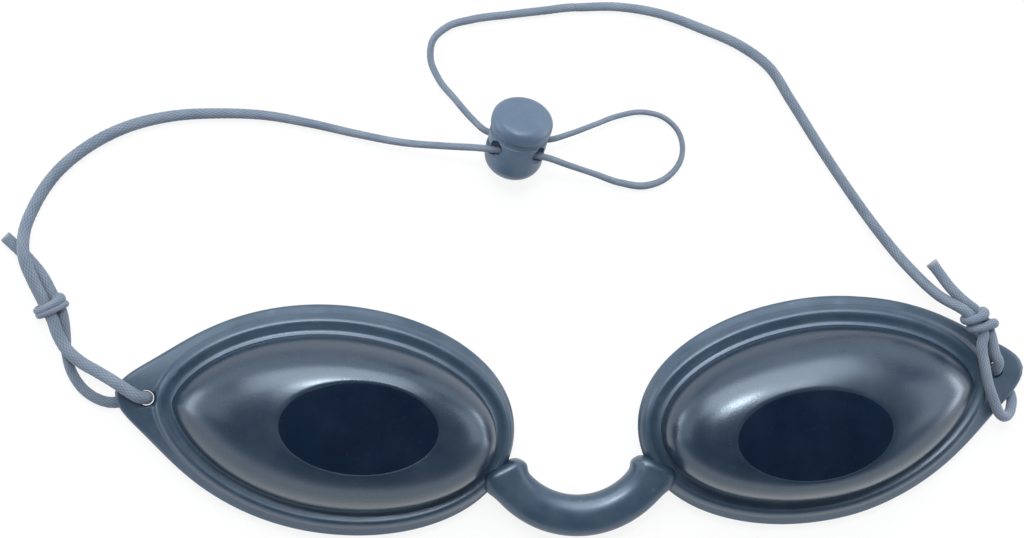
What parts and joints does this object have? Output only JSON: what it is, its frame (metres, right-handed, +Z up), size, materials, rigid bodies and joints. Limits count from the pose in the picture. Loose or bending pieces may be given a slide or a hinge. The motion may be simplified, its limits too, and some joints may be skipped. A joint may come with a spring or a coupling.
{
  "type": "laser eye shield goggles",
  "caption": "Pair of opaque almond-shaped eye cups in soft flanged frames joined by a curved nose bridge, worn on an elastic cord with a push-button cord lock.",
  "frame": {"origin": "bottom centre of the goggles without their cord, on the surface that the skin side of both frames rests on", "axes": "+X across the width towards the eye cup on the picture's right, +Y along the table towards the cord lock, +Z up, out of the domes' fronts"},
  "size_m": [0.1595, 0.0834, 0.0148],
  "materials": {
    "soft_frame": "satin",
    "cup_shell": "fine matte texture",
    "dark_window": "polished",
    "elastic_cord": "braided elastic",
    "lock_plastic": "satin",
    "spring_wire": "drawn wire"
  },
  "bodies": {
    "left_side": {"left_frame": "soft_frame", "bridge_middle": "soft_frame", "left_cup": "cup_shell", "left_window": "dark_window", "left_tie_loop": "elastic_cord", "left_knot": "elastic_cord", "left_tail": "elastic_cord", "left_cord_run": "elastic_cord", "cord_loop": "elastic_cord", "top_cord_run": "elastic_cord"},
    "right_side": {"right_frame": "soft_frame", "right_cup": "cup_shell", "right_window": "dark_window", "right_cord_run": "elastic_cord", "right_knot": "elastic_cord", "right_tail": "elastic_cord", "right_tie_loop": "elastic_cord"},
    "cord_lock": {"lock_barrel": "lock_plastic", "lock_spring": "spring_wire", "cord_in_lock": "elastic_cord"},
    "lock_button": {"lock_plunger": "lock_plastic"}
  },
  "joints": [
    {"name": "bridge_flex", "type": "hinge", "parent": "left_side", "child": "right_side", "pos_m": [0, -0.0152, 0.0036], "axis": [0, 1, 0], "range_deg": [-60, 60], "stiffness_Nm_per_rad": 0.009, "deforming": ["bridge_middle", "top_cord_run"]},
    {"name": "lock_slide", "type": "slide", "parent": "left_side", "child": "cord_lock", "axis": [0.9877, -0.1564, 0], "range_m": [-0.006, 0.006], "deforming": ["left_cord_run", "cord_loop"]},
    {"name": "button_press", "type": "slide", "parent": "cord_lock", "child": "lock_button", "axis": [-0.1162, -0.734, -0.6691], "range_m": [0, 0.0012], "stiffness_N_per_m": 500, "springref_m": -0.001, "deforming": ["lock_spring"]}
  ]
}
